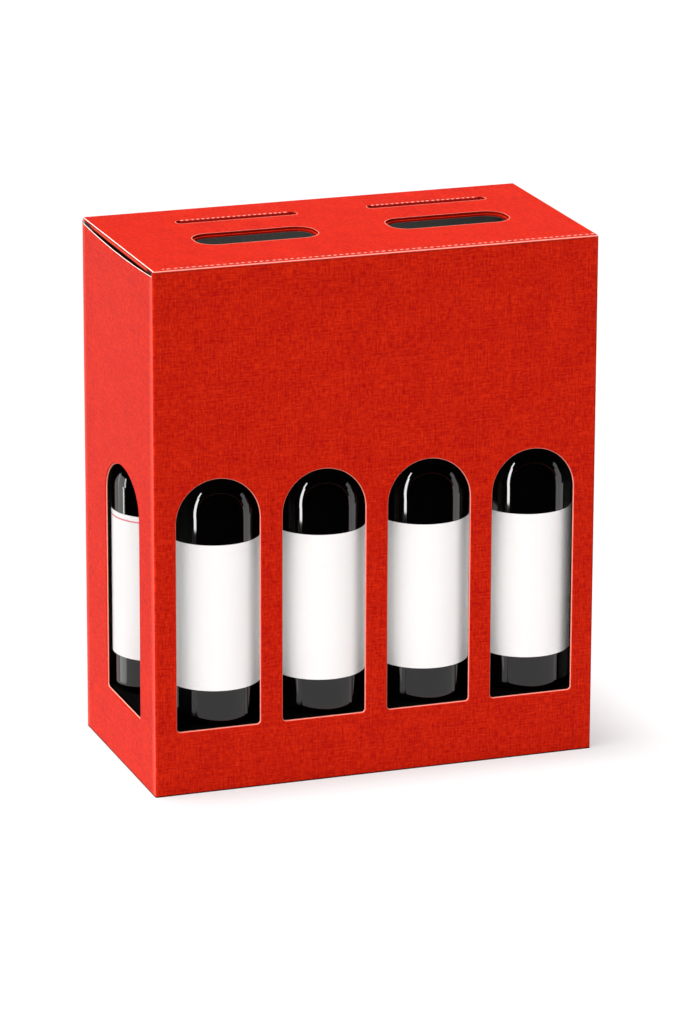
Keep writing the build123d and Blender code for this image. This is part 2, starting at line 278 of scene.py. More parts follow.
# %% [markdown]
# ### Where the lid is cut
# The lid is the same sheet, but it swings, so its faces are told apart by the object's own normal, which swings
# along: red where it looks up, and grey where it looks down. A thin pale line follows the hand holes and the tab
# slots, where the knife has bruised the print. How far a point lies from such a rounded cut is worked out as for any
# rounded box: the distance beyond the inner rectangle, less the corner radius.

# %% Faces and cuts of the lid
# Millimetres, but for FACE_TURN, the upward share of the normal. Holes and slots come in pairs, one spacing apart.
CUT_SPACING = 145.0
HOLE_SIZE, HOLE_RADIUS, HOLE_MIDDLE = (91.0, 33.5), 14.0, (7.0, -8.0)
SLOT_SIZE, SLOT_RADIUS, SLOT_MIDDLE = (91.0, 9.0), 4.2, (11.0, 46.5)
FACE_TURN, BRUISE, SLOT_INSET, TAB_CREASE = 0.35, 0.55, 0.3, 1.0

lid_card, tree, output = new_material("linen_embossed_card_lid")
(x, y, z), facing, tone, red, sheet = linen(tree)
upper = add(tree, "ShaderNodeMath", {0: facing[2], 1: FACE_TURN}, operation="GREATER_THAN")
under = add(tree, "ShaderNodeMath", {0: facing[2], 1: -FACE_TURN}, operation="LESS_THAN")
cuts = []
for middle, size, radius in ((HOLE_MIDDLE, HOLE_SIZE, HOLE_RADIUS), (SLOT_MIDDLE, SLOT_SIZE, SLOT_RADIUS)):
    across = add(tree, "ShaderNodeMath", {0: x, 1: middle[0]}, operation="SUBTRACT")
    pair = add(tree, "ShaderNodeMath", {0: across}, operation="ABSOLUTE")
    arm_x = add(tree, "ShaderNodeMath", {0: pair, 1: CUT_SPACING / 2}, operation="SUBTRACT")
    arm_y = add(tree, "ShaderNodeMath", {0: y, 1: middle[1]}, operation="SUBTRACT")
    over = []
    for arm, length in ((arm_x, size[0]), (arm_y, size[1])):
        reach = add(tree, "ShaderNodeMath", {0: arm}, operation="ABSOLUTE")
        past = add(tree, "ShaderNodeMath", {0: reach, 1: length / 2 - radius}, operation="SUBTRACT")
        over.append(add(tree, "ShaderNodeMath", {0: past, 1: 0.0}, operation="MAXIMUM"))
    arms = add(tree, "ShaderNodeCombineXYZ", {0: over[0], 1: over[1]})
    away = add(tree, "ShaderNodeVectorMath", {0: arms}, operation="LENGTH").outputs[1]
    ring = add(tree, "ShaderNodeMath", {0: away, 1: radius, 2: BRUISE}, operation="COMPARE")
    cuts.append((arm_x, arm_y, away, ring))
hole_ring = cuts[0][3]
slot_x, slot_y, slot_away, slot_ring = cuts[1]
in_slot = add(tree, "ShaderNodeMath", {0: slot_away, 1: SLOT_RADIUS - SLOT_INSET}, operation="LESS_THAN")
off_crease = add(tree, "ShaderNodeMath", {0: slot_y, 1: SLOT_SIZE[1] / 2 - TAB_CREASE}, operation="LESS_THAN")
slot_ring = add(tree, "ShaderNodeMath", {0: slot_ring, 1: off_crease}, operation="MINIMUM")
bruised = add(tree, "ShaderNodeMath", {0: hole_ring, 1: slot_ring}, operation="MAXIMUM")
print("lid cuts:", len(cuts), "pairs of rounded cuts", CUT_SPACING, "mm apart")

# %% [markdown]
# ### Where the lid is torn
# The lid bends on a row of short cuts, and so do its lock tabs: at each, the red skin has torn and shows a dash of
# white fibre. Along the front crease each dash also has a painted shadow, a dark red stroke in front of it. A dash is
# a part of each step along the row, and a slow noise shifts the steps, so that they aren't as even as a machine's.

# %% Dashes of the lid
# Millimetres. The middle and half-length of a dash or of its painted shadow are shares of its pitch.
CREASE_PITCH, CREASE_LINE, CREASE_HALF = 4.5, 4.4 - DEPTH / 2, 0.75
TAB_PITCH, TAB_LINE, TAB_HALF = 3.9, SLOT_MIDDLE[1] + SLOT_SIZE[1] / 2 + 0.5, 0.7
DASH_MIDDLE, DASH_HALF = 0.40, 0.25
DASH_SHADOW_MIDDLE, DASH_SHADOW_HALF, DASH_SHADOW_AHEAD = 0.56, 0.28, 1.7
FIRST_DASH, SHIFT, SHIFT_SIZE = 9.0, 2.2, 6.0

uneven = add(tree, "ShaderNodeTexNoise", {"Vector": sheet, "Scale": 1 / SHIFT_SIZE, "Detail": 1.0})
shifted = add(tree, "ShaderNodeMath", {0: uneven, 1: SHIFT, 2: x}, operation="MULTIPLY_ADD")
on_crease = add(tree, "ShaderNodeMath", {0: x, 1: FIRST_DASH - WIDTH / 2}, operation="GREATER_THAN")
on_tab = add(tree, "ShaderNodeMath", {0: slot_x, 1: 0.0, 2: SLOT_SIZE[0] / 2 - SLOT_RADIUS}, operation="COMPARE")
marks = []
for pitch, centre, half, line, wide, where in (
    (CREASE_PITCH, DASH_MIDDLE, DASH_HALF, CREASE_LINE, CREASE_HALF, on_crease),
    (TAB_PITCH, DASH_MIDDLE, DASH_HALF, TAB_LINE, TAB_HALF, on_tab),
    (CREASE_PITCH, DASH_SHADOW_MIDDLE, DASH_SHADOW_HALF, CREASE_LINE - DASH_SHADOW_AHEAD, CREASE_HALF, on_crease),
):
    step = add(tree, "ShaderNodeMath", {0: shifted, 1: pitch}, operation="DIVIDE")
    share = add(tree, "ShaderNodeMath", {0: step}, operation="FRACT")
    lengthwise = add(tree, "ShaderNodeMath", {0: share, 1: centre, 2: half}, operation="COMPARE")
    crosswise = add(tree, "ShaderNodeMath", {0: y, 1: line, 2: wide}, operation="COMPARE")
    spot = add(tree, "ShaderNodeMath", {0: lengthwise, 1: crosswise}, operation="MINIMUM")
    marks.append(add(tree, "ShaderNodeMath", {0: spot, 1: where}, operation="MINIMUM"))
# The third row of marks is a painted shadow in front of each crease dash.
crease_dashes, tab_dashes, painted_dash_shadow = marks
torn = add(tree, "ShaderNodeMath", {0: crease_dashes, 1: tab_dashes}, operation="MAXIMUM")
torn = add(tree, "ShaderNodeMath", {0: torn, 1: upper}, operation="MINIMUM")
print("lid dashes:", CREASE_PITCH, "mm apart on the crease,", TAB_PITCH, "mm on the tabs")

# %% [markdown]
# ### The lid's colours
# The lid's outer cut has the red of the print, and only a thin skin along its top shows white paper. The cut edges
# of the holes and slots are painted a dark red, painted shade, and so are the tab faces pressed down below the top
# and everything inside the slots. The front crease is a pale line. The torn dashes stand up from the sheet a little.

# %% Card of the lid
BARE_PAPER = ("#F1D6CA", "#FAF1EB")
DASH_SHADOW_RED, TORN_FIBRE, BRUISED_RED, CREASE_PALE = "#8E0E06", "#F0B4A6", "#EE8A78", "#E98F83"
FRONT_SKIN, CREASE_DROP, CREASE_TALL, CREASE_DEEP = 1.3, 0.55, 0.35, 3.0
PRESSED_DROP, CUT_SKIN, TOP_SKIN, TORN_RELIEF = 0.25, 1.1, 0.35, 2.0

front = add(tree, "ShaderNodeMath", {0: y, 1: FRONT_SKIN - DEPTH / 2}, operation="LESS_THAN")
lip = add(tree, "ShaderNodeMath", {0: z, 1: HEIGHT - CREASE_DROP, 2: CREASE_TALL}, operation="COMPARE")
crease = add(tree, "ShaderNodeMath", {0: front, 1: lip}, operation="MINIMUM")
# Painted shade: upward faces pressed below the top behind the crease, and all inside the slots, take the dark red.
pressed = add(tree, "ShaderNodeMath", {0: z, 1: HEIGHT - PRESSED_DROP}, operation="LESS_THAN")
behind_crease = add(tree, "ShaderNodeMath", {0: y, 1: CREASE_DEEP - DEPTH / 2}, operation="GREATER_THAN")
pressed = add(tree, "ShaderNodeMath", {0: pressed, 1: behind_crease}, operation="MINIMUM")
pressed = add(tree, "ShaderNodeMath", {0: pressed, 1: in_slot}, operation="MAXIMUM")
side = add(tree, "ShaderNodeMath", {0: x}, operation="ABSOLUTE")
outer_cut = add(tree, "ShaderNodeMath", {0: side, 1: WIDTH / 2 - CUT_SKIN}, operation="GREATER_THAN")
top_skin = add(tree, "ShaderNodeMath", {0: z, 1: HEIGHT - TOP_SKIN}, operation="GREATER_THAN")
bare = add(tree, "ShaderNodeMath", {0: outer_cut, 1: top_skin}, operation="MINIMUM")

fibre = add(tree, "ShaderNodeTexNoise", {"Vector": sheet, "Scale": 1 / FIBRE, "Detail": 3.0})
inner, paper = [
    add(tree, "ShaderNodeMix", {0: fibre, 6: linear(dark), 7: linear(light)}, data_type="RGBA").outputs[2]
    for dark, light in (GREY_BOARD, BARE_PAPER)
]
face = red
for mask, colour in ((pressed, SHADE_PAINTED_RED), (painted_dash_shadow, DASH_SHADOW_RED), (torn, TORN_FIBRE), (bruised, BRUISED_RED)):
    face = add(tree, "ShaderNodeMix", {0: mask, 6: face, 7: linear(colour)}, data_type="RGBA").outputs[2]
# Painted shade: cut edges in the lid's holes and slots keep this dark red.
base = linear(SHADE_PAINTED_RED)
for mask, colour in (
    (outer_cut, red), (upper, face), (front, red), (crease, linear(CREASE_PALE)), (bare, paper), (under, inner),
):
    base = add(tree, "ShaderNodeMix", {0: mask, 6: base, 7: colour}, data_type="RGBA").outputs[2]
relief = add(tree, "ShaderNodeMath", {0: torn, 1: TORN_RELIEF, 2: tone}, operation="MULTIPLY_ADD")
finish_card("lid", lid_card, tree, output, base, upper, relief)

# %% [markdown]
# ### Board of the hidden inserts
# The tray round the necks is plain recycled board: grey, dull and slightly flecked. The stand under the bottles is
# painted nearly black, painted shade for the dark inside of the box, so that nothing but the bottles shows in the
# windows.

# %% Boards of the inserts
FLECK, FLECK_RELIEF = 2.0, 0.05
# The stand's near black is painted shade.
for node, title, dark, light in (
    ("neck_tray", "recycled_grey_board", "#585A57", "#7C7E7A"),
    ("bottle_stand", "black_shade_painted_board", "#020202", "#060606"),
):
    board, tree, output = new_material(title)
    place = add(tree, "ShaderNodeTexCoord").outputs["Object"]
    fleck = add(tree, "ShaderNodeTexNoise", {"Vector": place, "Scale": 1 / (FLECK * MM), "Detail": 4.0})
    tint = add(tree, "ShaderNodeMix", {0: fleck, 6: linear(dark), 7: linear(light)}, data_type="RGBA")
    bump = add(tree, "ShaderNodeBump", {"Height": fleck, "Strength": 0.2, "Distance": FLECK_RELIEF * MM})
    shine = add(tree, "ShaderNodeBsdfPrincipled", {
        "Base Color": tint.outputs[2], "Roughness": 0.92, "Normal": bump, "IOR": 1.5, "Specular IOR Level": 0.02,
    })
    tree.links.new(shine.outputs[0], output.inputs[0])
    dress(node, board)
    print(node, "in", title)

# %% [markdown]
# ## The bottles
# Filled with dark wine, the green glass reads as black, and only its shine shows the form. A turned solid of many
# flat facets would break that shine up, so the bottle is a true surface of revolution: a half-profile of arcs that
# meet tangentially, carried round the axis on a grid.

# %% Helpers for meshes
MERGE = 0.001


def grid_quads(rows, columns, closed):
    """Corner numbers of the quads of a rows-by-columns grid of points; closed joins the last column to the first."""
    i, j = np.meshgrid(np.arange(rows - 1), np.arange(columns if closed else columns - 1), indexing="ij")
    k = (j + 1) % columns
    quads = np.stack([i * columns + j, i * columns + k, (i + 1) * columns + k, (i + 1) * columns + j], -1)
    return quads.reshape(-1, 4)


def make_piece(name, points, faces, material, sharp=40):
    """Mesh object at the origin from points in millimetres and faces. Points that meet, as at a pole, become one,
    and edges that turn by more than sharp degrees stay crisp."""
    mesh = bpy.data.meshes.new(name)
    mesh.from_pydata((np.asarray(points) * MM).tolist(), [], [list(map(int, face)) for face in faces])
    edit = bmesh.new()
    edit.from_mesh(mesh)
    bmesh.ops.remove_doubles(edit, verts=edit.verts, dist=MERGE * MM)
    edit.to_mesh(mesh)
    edit.free()
    mesh.polygons.foreach_set("use_smooth", np.ones(len(mesh.polygons), bool))
    mesh.set_sharp_from_angle(angle=math.radians(sharp))
    mesh.materials.append(material)
    piece = bpy.data.objects.new(name, mesh)
    bpy.context.scene.collection.objects.link(piece)
    return piece


def arc(centre, radius, start, stop, count):
    """Points of a circle arc: the centre plus the radius times cosine and sine of angles, start to stop in degrees."""
    angle = np.radians(np.linspace(start, stop, count))
    return np.stack([centre[0] + radius * np.cos(angle), centre[1] + radius * np.sin(angle)], -1)


def turned(profile, x, y, z, sectors):
    """Surface of revolution and its quads: the profile's radius times cosine and sine of each sector's angle, with
    the profile's height kept."""
    angle = np.linspace(0, 2 * np.pi, sectors, endpoint=False)
    radius, height = profile[:, :1], profile[:, 1:]
    points = np.stack([x + radius * np.cos(angle), y + radius * np.sin(angle), z + height + 0 * angle], -1)
    return points.reshape(-1, 3), grid_quads(len(profile), sectors, True)


print("mesh helpers ready")

# %% [markdown]
# ### The shape of a bottle
# It is the high-shouldered kind: a straight side, a round shoulder that runs into the throat of the neck, a lip, and
# a punt pushed up into the foot. Shoulder and throat are two arcs that touch, so where the shoulder starts follows
# from their radii.

# %% Half-profile of a bottle
BOTTLE_RADIUS, BOTTLE_HEIGHT = 33.25, 270.0
HEEL, PUNT_RADIUS, PUNT_DEPTH, PUNT_CURVE = 7.0, 22.0, 14.0, 1.5
SHOULDER, THROAT, NECK_LENGTH, NECK_RADIUS = 30.0, 18.0, 78.0, 13.75
LIP_RADIUS, LIP_HEIGHT, LIP_ROUND, MOUTH_ROUND = 14.5, 18.0, 0.6, 1.2


def bottle_profile():
    """Radius and height from the punt's middle, round heel, shoulder, throat and lip, to the middle of the mouth. The
    shoulder's arc leans until it points at the throat's centre, one shoulder and one throat radius away. The punt is
    a power of a cosine. The last number of an arc is its count of points."""
    neck_start = BOTTLE_HEIGHT - NECK_LENGTH
    reach = SHOULDER + THROAT
    inset = BOTTLE_RADIUS - NECK_RADIUS - reach
    shoulder_start = neck_start - math.sqrt(reach**2 - inset**2)
    lean = math.degrees(math.atan2(neck_start - shoulder_start, -inset))
    share = np.linspace(0, 1, 14)[:, None]
    punt = np.concatenate([PUNT_RADIUS * share, PUNT_DEPTH * np.cos(share * np.pi / 2) ** PUNT_CURVE], -1)
    ledge = BOTTLE_HEIGHT - LIP_HEIGHT
    return np.concatenate([
        punt,
        arc((BOTTLE_RADIUS - HEEL, HEEL), HEEL, -90, 0, 14),
        arc((BOTTLE_RADIUS - SHOULDER, shoulder_start), SHOULDER, 0, lean, 32),
        arc((NECK_RADIUS + THROAT, neck_start), THROAT, 180 + lean, 180, 20)[1:],
        [[NECK_RADIUS, ledge - LIP_ROUND]],
        arc((LIP_RADIUS - LIP_ROUND, ledge), LIP_ROUND, -90, 0, 5),
        arc((LIP_RADIUS - MOUTH_ROUND, BOTTLE_HEIGHT - MOUTH_ROUND), MOUTH_ROUND, 0, 90, 7),
        [[0.0, BOTTLE_HEIGHT]],
    ])


print("bottle profile:", len(bottle_profile()), "points")

# %% [markdown]
# ### Black glass
# Glass reflects about four parts in a hundred head on, and more at a glance: that is its IOR of 1.5. The body colour
# is nearly black. A very slight waviness from the mould keeps the shine from looking ideal.

# %% Glass
MOULD_WAVE, MOULD_RELIEF = 22.0, 0.25
glass, tree, output = new_material("dark_bottle_glass")
place = add(tree, "ShaderNodeTexCoord").outputs["Object"]
wave = add(tree, "ShaderNodeTexNoise", {"Vector": place, "Scale": 1 / (MOULD_WAVE * MM), "Detail": 1.0})
bump = add(tree, "ShaderNodeBump", {"Height": wave, "Strength": 0.04, "Distance": MOULD_RELIEF * MM})
shine = add(tree, "ShaderNodeBsdfPrincipled", {
    "Base Color": linear("#020202"), "Roughness": 0.035, "IOR": 1.5, "Normal": bump,
})
tree.links.new(shine.outputs[0], output.inputs[0])
print("glass ready")

# %% [markdown]
# ### Label paper
# The labels are uncoated white paper and stay blank. The paper has a faint cloud of fibres, and the back row's labels
# carry one thin rule under their upper edge, as the photograph shows at the end window.

# %% Paper
STAND_TOP = 46.5
LABEL_FOOT, LABEL_HEIGHT, LABEL_WRAP = 27.2, 107.98, 232.0
LABEL_TOP = STAND_TOP + LABEL_FOOT + LABEL_HEIGHT
RULE_DROP, RULE_HALF, BETWEEN_ROWS = 4.2, 0.55, -8.0
PAPER_FIBRE, PAPER_RELIEF = 1.4, 0.02
label_paper, tree, output = new_material("uncoated_label_paper")
place = add(tree, "ShaderNodeTexCoord").outputs["Object"]
mm = add(tree, "ShaderNodeVectorMath", {0: place, "Scale": 1 / MM}, operation="SCALE")
x, y, z = add(tree, "ShaderNodeSeparateXYZ", {0: mm}).outputs
cloud = add(tree, "ShaderNodeTexNoise", {"Vector": mm, "Scale": 1 / PAPER_FIBRE, "Detail": 4.0, "Roughness": 0.65})
white = add(tree, "ShaderNodeMix", {0: cloud, 6: linear("#F3F1EF"), 7: linear("#FBFAF9")}, data_type="RGBA")
on_rule = add(tree, "ShaderNodeMath", {0: z, 1: LABEL_TOP - RULE_DROP, 2: RULE_HALF}, operation="COMPARE")
behind = add(tree, "ShaderNodeMath", {0: y, 1: BETWEEN_ROWS}, operation="GREATER_THAN")
rule = add(tree, "ShaderNodeMath", {0: on_rule, 1: behind}, operation="MINIMUM")
ink = add(tree, "ShaderNodeMix", {0: rule, 6: white.outputs[2], 7: linear("#E2788C")}, data_type="RGBA")
bump = add(tree, "ShaderNodeBump", {"Height": cloud, "Strength": 0.12, "Distance": PAPER_RELIEF * MM})
shine = add(tree, "ShaderNodeBsdfPrincipled", {
    "Base Color": ink.outputs[2], "Roughness": 0.75, "IOR": 1.5, "Specular IOR Level": 0.25, "Normal": bump,
})
tree.links.new(shine.outputs[0], output.inputs[0])
print("paper ready, labels end", LABEL_TOP, "mm up")

# %% [markdown]
# ### Capsule foil
# Over each neck a thin black foil is shrunk on: satin, with fine rings from the rollers. It shows through the hand
# holes and when the lid is open.

# %% Foil
ROLLER_RING, RING_RELIEF = 6.3, 0.05
foil, tree, output = new_material("black_capsule_foil")
place = add(tree, "ShaderNodeTexCoord").outputs["Object"]
rings = add(tree, "ShaderNodeTexWave", {
    "Vector": place, "Scale": 1 / (ROLLER_RING * MM), "Distortion": 0.2,
}, bands_direction="Z")
bump = add(tree, "ShaderNodeBump", {"Height": rings, "Strength": 0.15, "Distance": RING_RELIEF * MM})
shine = add(tree, "ShaderNodeBsdfPrincipled", {
    "Base Color": linear("#1B1A1A"), "Metallic": 0.4, "Roughness": 0.36, "Normal": bump,
})
tree.links.new(shine.outputs[0], output.inputs[0])
print("foil ready")

# %% [markdown]
# ### Labels and capsules
# A label is a thin band: its closed section, a strip of paper, is carried along an arc round the glass. A capsule is
# a turned sleeve of foil with a closed top, a hair wider than the neck and the lip that it covers.

# %% Shapes of labels and capsules
LABEL_INSIDE, LABEL_OUTSIDE = BOTTLE_RADIUS + 0.05, BOTTLE_RADIUS + 0.35
LABEL_ROWS, LABEL_STEPS = 24, 97
CAPSULE_LENGTH, FOIL_OUT, FOIL_WALL = 55.0, 0.5, 0.4
LEDGE_ROUND, CROWN_ROUND = 0.7, 1.6


def label_band(x, y, z):
    """Paper section (radius, height) carried along an arc from end to end, with a cap on each end."""
    low, high = LABEL_FOOT, LABEL_FOOT + LABEL_HEIGHT
    section = np.concatenate([
        np.stack([np.full(LABEL_ROWS, LABEL_OUTSIDE), np.linspace(low, high, LABEL_ROWS)], -1),
        np.stack([np.full(2, LABEL_INSIDE), [high, low]], -1),
    ])
    angle = np.radians(np.linspace(-90 - LABEL_WRAP / 2, -90 + LABEL_WRAP / 2, LABEL_STEPS))[:, None]
    radius, height = section[:, 0], section[:, 1]
    points = np.stack([x + radius * np.cos(angle), y + radius * np.sin(angle), z + height + 0 * angle], -1)
    quads = grid_quads(LABEL_STEPS, len(section), True)[:, ::-1]
    first = np.arange(len(section))
    last = first[::-1] + (LABEL_STEPS - 1) * len(section)
    return points.reshape(-1, 3), quads.tolist() + [first.tolist(), last.tolist()]


def capsule_profile():
    """Radius and height of the foil: down its inner side to the cut foot, then up outside, over the lip and in."""
    foot, top = BOTTLE_HEIGHT - CAPSULE_LENGTH, BOTTLE_HEIGHT + FOIL_OUT
    ledge = BOTTLE_HEIGHT - LIP_HEIGHT - FOIL_OUT
    slim, wide = NECK_RADIUS + FOIL_OUT, LIP_RADIUS + FOIL_OUT
    slim_in, wide_in, top_in = slim - FOIL_WALL, wide - FOIL_WALL, top - FOIL_WALL
    return np.concatenate([
        [[0.0, top_in], [wide_in, top_in], [wide_in, ledge], [slim_in, ledge - FOIL_OUT]],
        [[slim_in, foot], [slim, foot]],
        np.stack([np.full(12, slim), np.linspace(foot + FOIL_OUT, ledge - 2 * FOIL_OUT, 12)], -1),
        arc((wide - LEDGE_ROUND, ledge), LEDGE_ROUND, -90, 0, 6),
        arc((wide - CROWN_ROUND, top - CROWN_ROUND), CROWN_ROUND, 0, 90, 8),
        [[0.0, top]],
    ])


label_width = math.radians(LABEL_WRAP) * (LABEL_INSIDE + LABEL_OUTSIDE) / 2
print("label of", round(label_width, 1), "x", LABEL_HEIGHT, "mm, laid flat")

# %% [markdown]
# ### Put the bottles together
# One profile serves all the bottles. The front row stands near the windows and a little to the right, the back row
# to the left. Each piece stands for its CAD node, and rides on the carton with it.

# %% Bottles, labels and capsules
ROWS = {"front": (8.0, -47.75), "back": (-9.5, 28.25)}
COLUMNS, PITCH = 4, 79.0
BOTTLE_SECTORS, CAPSULE_SECTORS = 96, 64


def stands_at(row, column):
    """Place of a bottle's foot: columns one pitch apart about the middle, moved by the row's shift, on the stand."""
    shift, depth = ROWS[row]
    return (column - (COLUMNS - 1) / 2) * PITCH + shift, depth, STAND_TOP


made = {}
for row in ROWS:
    for column in range(COLUMNS):
        spot = stands_at(row, column)
        tag = f"{row}_{column + 1}"
        pieces = {
            "bottle": make_piece(f"glass_{tag}", *turned(bottle_profile(), *spot, BOTTLE_SECTORS), glass, sharp=60),
            "label": make_piece(f"paper_{tag}", *label_band(*spot), label_paper),
            "capsule": make_piece(f"foil_{tag}", *turned(capsule_profile(), *spot, CAPSULE_SECTORS), foil, sharp=50),
        }
        for kind, slot in (("bottle", "bottle_glass"), ("label", "label_paper"), ("capsule", "capsule_foil")):
            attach(pieces[kind], "carton")
            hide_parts(f"{kind}_{tag}")
            made[f"{kind}_{tag}"] = pieces[kind]
print("bottle pieces:", len(made), "and", sum(len(p.data.polygons) for p in made.values()), "faces")

# %% [markdown]
# ## The studio
# The photograph has a white ground with a soft, short shadow. A broad round sheet whose rim curves up far away gives
# that in every view. Its colour is white paper; for the eye and for the shine of glass it is lifted towards plain
# white, and the rest of its light keeps the box's shadow.

# %% Ground sheet
SHEET_FLAT, SHEET_RISE = 9000.0, 3000.0
SHEET_GLOW = 0.5
ground, tree, output = new_material("white_paper_sweep")
rays = add(tree, "ShaderNodeLightPath").outputs
seen = add(tree, "ShaderNodeMath", {0: rays["Is Camera Ray"], 1: rays["Is Glossy Ray"]}, operation="MAXIMUM")
seen = add(tree, "ShaderNodeMath", {0: seen, 1: rays["Is Transmission Ray"]}, operation="MAXIMUM")
share = add(tree, "ShaderNodeMath", {0: seen, 1: SHEET_GLOW}, operation="MULTIPLY")
matt = add(tree, "ShaderNodeBsdfDiffuse", {"Color": linear("#F4F4F4")})
white = add(tree, "ShaderNodeEmission", {"Color": linear("#FFFFFF"), "Strength": 1.0})
both = add(tree, "ShaderNodeMixShader", {0: share, 1: matt, 2: white})
tree.links.new(both.outputs[0], output.inputs[0])
sweep = np.concatenate([
    np.stack([np.linspace(0, SHEET_FLAT, 10), np.zeros(10)], -1),
    arc((SHEET_FLAT, SHEET_RISE), SHEET_RISE, -90, 0, 16)[1:],
])
ground_sheet = make_piece("ground_sheet", *turned(sweep, 0, 0, 0, 64), ground)
ground_sheet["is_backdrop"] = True
print("ground sheet:", len(ground_sheet.data.polygons), "faces")

# %% [markdown]
# A dark cloth lies on the ground in front, and a dark tent stands round the front and the left, as a photographer
# puts them there to keep dark glass dark. Only shiny surfaces see them. Near the box the white ground stays bare.

# %% Dark cloth and tent
CLOTH_NEAR, CLOTH_FAR, CLOTH_LIFT = 520.0, 4500.0, 3.0
TENT_RADIUS, TENT_FOOT = 6000.0, 15.0
TENT_FROM, TENT_TO, TENT_STEPS = -215.0, 0.0, 49
cloth, tree, output = new_material("black_studio_cloth")
matt = add(tree, "ShaderNodeBsdfDiffuse", {"Color": linear("#030303")})
tree.links.new(matt.outputs[0], output.inputs[0])


def tent():
    """Profile from the near edge of the cloth, out along the ground and up over a quarter round, swept about the
    upright axis round the front and the left."""
    profile = np.concatenate([
        np.stack([np.linspace(CLOTH_NEAR, CLOTH_FAR, 8), np.full(8, CLOTH_LIFT)], -1),
        arc((0, CLOTH_LIFT), TENT_RADIUS, TENT_FOOT, 90, 16),
    ])
    angle = np.radians(np.linspace(TENT_FROM, TENT_TO, TENT_STEPS))[:, None]
    radius, height = profile[:, 0], profile[:, 1]
    points = np.stack([radius * np.cos(angle), radius * np.sin(angle), height + 0 * angle], -1)
    return points.reshape(-1, 3), grid_quads(TENT_STEPS, len(profile), False)


dark_tent = make_piece("dark_tent", *tent(), cloth)
dark_tent.visible_camera = False
dark_tent.visible_diffuse = False
dark_tent.visible_shadow = False
dark_tent.visible_transmission = False
dark_tent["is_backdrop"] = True
print("tent:", len(dark_tent.data.polygons), "faces")

# %% [markdown]
# ## Light
# The top and the left end of the box are lighter than its front, so the main light stands high to the left. The
# ground has a light of its own from above, which leaves only a short shadow. Lamps like the sun, but very wide, light
# everything evenly. Light linking says what each lamp lights and what lets it by: the main light leaves out the
# ground, the glass and the paper, and the labels have soft lights for the paper alone. One of those comes through the
# card of the box, and all pass the studio's sheet and tent. Bottles and labels aren't seen in the glass of other
# bottles, so that each bottle shows only the lines of shine that its own strips draw.

# %% Wide lamps
SUN_PLACE, WORLD_LEVEL = (0, 0, 3), 0.22
world = bpy.data.worlds.new("studio")
world.use_nodes = True
world.node_tree.nodes["Background"].inputs[0].default_value = linear("#FFFFFF")
world.node_tree.nodes["Background"].inputs[1].default_value = WORLD_LEVEL
bpy.context.scene.world = world


def gather(name, pieces, state="INCLUDE"):
    """Collection of pieces for light linking; the state says whether a lamp takes them in or leaves them out."""
    group = bpy.data.collections.new(name)
    for piece in pieces:
        group.objects.link(piece)
    for entry in group.collection_objects:
        entry.light_linking.link_state = state
    return group


def place_lamp(name, kind, where, towards, lit, past=None, **settings):
    """Lamp of a kind at a place in metres, turned to shine along a direction; lit and past are its linked groups."""
    data = bpy.data.lights.new(name, kind)
    for key, value in settings.items():
        setattr(data, key, value)
    lamp = bpy.data.objects.new(name, data)
    lamp.location = where
    lamp.rotation_mode = "QUATERNION"
    lamp.rotation_quaternion = Vector(towards).to_track_quat("-Z", "Y")
    bpy.context.scene.collection.objects.link(lamp)
    lamp.light_linking.receiver_collection = lit
    lamp.light_linking.blocker_collection = past
    return lamp


bottles = {name: piece for name, piece in made.items() if name.startswith("bottle")}
labels = [piece for name, piece in made.items() if name.startswith("label")]
for piece in [*labels, *bottles.values()]:
    piece.visible_glossy = False
box_cards = [nodes[name] for name in ("carton_body", "lid", "neck_tray", "bottle_stand")]
box_lets_by = gather("box_lets_by", [*box_cards, ground_sheet, dark_tent], "EXCLUDE")
studio_lets_by = gather("studio_lets_by", [ground_sheet, dark_tent], "EXCLUDE")
not_by_key = gather("not_by_key", [ground_sheet, *bottles.values(), *labels], "EXCLUDE")
ground_only = gather("ground_only", [ground_sheet])
front_labels = gather("front_labels", labels[:COLUMNS])
back_labels = gather("back_labels", labels[COLUMNS:])
suns = (
    # name, direction, level, spread in degrees, what it lights, what lets it by
    ("high_left_light", (0.532, 0.151, -0.833), 1.86, 50, not_by_key, None),
    ("ground_light", (0.085, -0.015, -1.0), 0.95, 12, ground_only, None),
    ("label_front_light", (0.60, 0.77, -0.2), 0.22, 30, front_labels, studio_lets_by),
    ("label_left_light", (0.95, 0.26, -0.2), 0.24, 30, front_labels, box_lets_by),
    ("label_right_light", (-0.64, 0.75, -0.2), 0.10, 30, front_labels, studio_lets_by),
    ("label_end_light", (0.95, 0.26, -0.2), 0.38, 30, back_labels, studio_lets_by),
)
for name, towards, level, spread, lit, past in suns:
    place_lamp(
        name, "SUN", SUN_PLACE, towards, lit, past, energy=level * math.pi, angle=math.radians(spread),
    )
print("wide lamps:", [entry[0] for entry in suns])

# %% [markdown]
# Each strip stands at a bearing from its bottle, counted in degrees from straight in front towards the right. Seen in
# a round bottle, a lamp at bearing b shows where the glass faces halfway between b and the camera. The bright ones
# draw the upright lines of shine, and two faint ones the grey sheen at the foot. The strips reach below the ground,
# because the camera looks down on the glass and so sees the lower part of the studio in it. The box, the ground and
# the tent let their light by. A strip is given by its radiance, and its power is four times that times its area.

